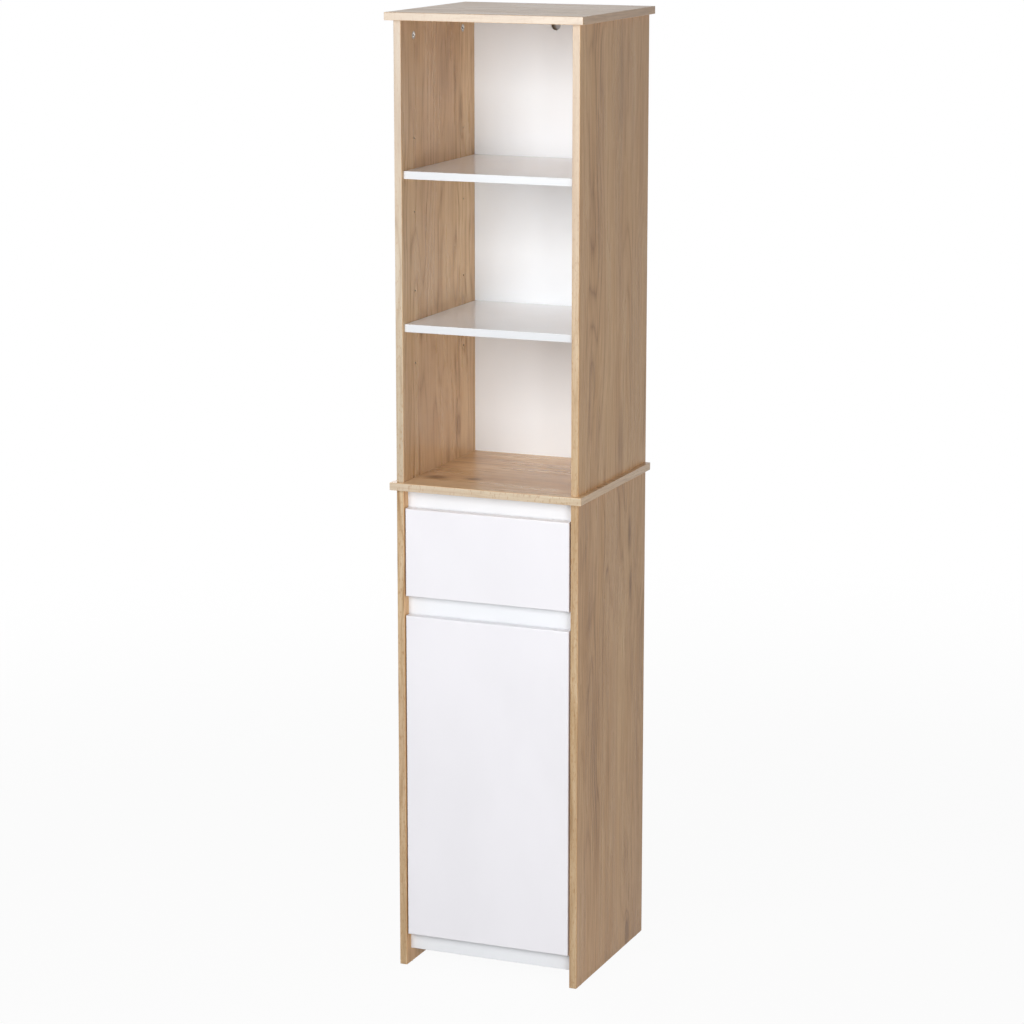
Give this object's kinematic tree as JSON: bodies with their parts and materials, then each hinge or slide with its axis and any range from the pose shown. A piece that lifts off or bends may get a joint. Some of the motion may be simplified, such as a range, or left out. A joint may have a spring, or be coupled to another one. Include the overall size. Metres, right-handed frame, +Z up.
{
  "type": "tall bathroom cabinet",
  "caption": "Tall narrow bathroom cabinet in oak effect and white: open shelves above a handle-free drawer and a hinged door with recessed finger gaps.",
  "frame": {"origin": "centre of the bounding box at floor level", "axes": "+Z up, +Y towards the wall, so the fronts face -Y; +X to the right seen from the front"},
  "size_m": [0.404, 0.389, 1.9],
  "materials": {
    "oak": "oak-effect laminate, satin",
    "white_front": "white lacquer, semi-gloss",
    "white_board": "white laminate, satin",
    "plated_metal": "nickel plated",
    "steel": "zinc plated",
    "bracket_steel": "galvanised",
    "dowel_wood": "plain beech",
    "nylon": "moulded nylon",
    "bumper": "clear soft pad",
    "runner_enamel": "white epoxy coating"
  },
  "bodies": {
    "cabinet": {"base_back_panel": "white_board", "base_cam_bolts": "steel", "base_cam_locks": "plated_metal", "base_dowels": "dowel_wood", "base_left_side": "oak", "base_right_side": "oak", "base_shelf": "white_board", "base_shelf_pins": "steel", "bottom_panel": "white_board", "divider_panel": "white_board", "divider_rail": "white_board", "drawer_rail": "white_board", "floor_glides": "nylon", "hinge_arm_lower": "plated_metal", "hinge_arm_screws": "plated_metal", "hinge_arm_upper": "plated_metal", "hinge_plate_lower": "plated_metal", "hinge_plate_screws": "plated_metal", "hinge_plate_upper": "plated_metal", "joining_screws": "steel", "middle_board": "oak", "plinth_rail": "white_board", "runner_left_fixed": "runner_enamel", "runner_right_fixed": "runner_enamel", "runner_screws_fixed": "steel", "top_board": "oak", "top_cam_bolts": "steel", "top_cam_locks": "plated_metal", "top_dowels": "dowel_wood", "upper_back_panel": "white_board", "upper_left_side": "oak", "upper_right_side": "oak", "upper_shelf_high": "white_board", "upper_shelf_low": "white_board", "upper_shelf_pins": "steel", "wall_bracket": "bracket_steel", "wall_bracket_screws": "steel"},
    "drawer": {"drawer_back": "white_board", "drawer_back_screws": "steel", "drawer_bottom": "white_board", "drawer_bumpers": "bumper", "drawer_cam_bolts": "steel", "drawer_cam_locks": "plated_metal", "drawer_front": "white_front", "drawer_left_side": "white_board", "drawer_right_side": "white_board", "runner_left_sliding": "runner_enamel", "runner_right_sliding": "runner_enamel", "runner_screws_sliding": "steel"},
    "door": {"door_bumpers": "bumper", "door_panel": "white_front", "hinge_cup_lower": "plated_metal", "hinge_cup_screws": "plated_metal", "hinge_cup_upper": "plated_metal", "hinge_link_lower": "plated_metal", "hinge_link_upper": "plated_metal"},
    "roller_front_left": {"roller_front_left": "nylon"},
    "roller_front_right": {"roller_front_right": "nylon"},
    "roller_rear_left": {"roller_rear_left": "nylon"},
    "roller_rear_right": {"roller_rear_right": "nylon"}
  },
  "joints": [
    {"name": "drawer_slide", "type": "slide", "parent": "cabinet", "child": "drawer", "axis": [0, -1, 0], "range_m": [0, 0.24]},
    {"name": "door_swing", "type": "hinge", "parent": "cabinet", "child": "door", "pos_m": [-0.17, -0.175, 0.396], "axis": [0, 0, -1], "range_deg": [0, 105]},
    {"name": "roller_front_left_spin", "type": "hinge", "parent": "cabinet", "child": "roller_front_left", "pos_m": [-0.1698, -0.1435, 0.784], "axis": [1, 0, 0], "range_deg": [0, 1620]},
    {"name": "roller_rear_left_spin", "type": "hinge", "parent": "drawer", "child": "roller_rear_left", "pos_m": [-0.1677, 0.1285, 0.784], "axis": [1, 0, 0], "range_deg": [0, 1620]},
    {"name": "roller_front_right_spin", "type": "hinge", "parent": "cabinet", "child": "roller_front_right", "pos_m": [0.1698, -0.1435, 0.784], "axis": [1, 0, 0], "range_deg": [0, 1620]},
    {"name": "roller_rear_right_spin", "type": "hinge", "parent": "drawer", "child": "roller_rear_right", "pos_m": [0.1677, 0.1285, 0.784], "axis": [1, 0, 0], "range_deg": [0, 1620]}
  ],
  "couplings": [
    {"joint": "roller_front_left_spin", "follows": "drawer_slide", "rad_per_m": 117.65},
    {"joint": "roller_front_right_spin", "follows": "drawer_slide", "rad_per_m": 117.65},
    {"joint": "roller_rear_left_spin", "follows": "drawer_slide", "rad_per_m": 117.65},
    {"joint": "roller_rear_right_spin", "follows": "drawer_slide", "rad_per_m": 117.65}
  ]
}
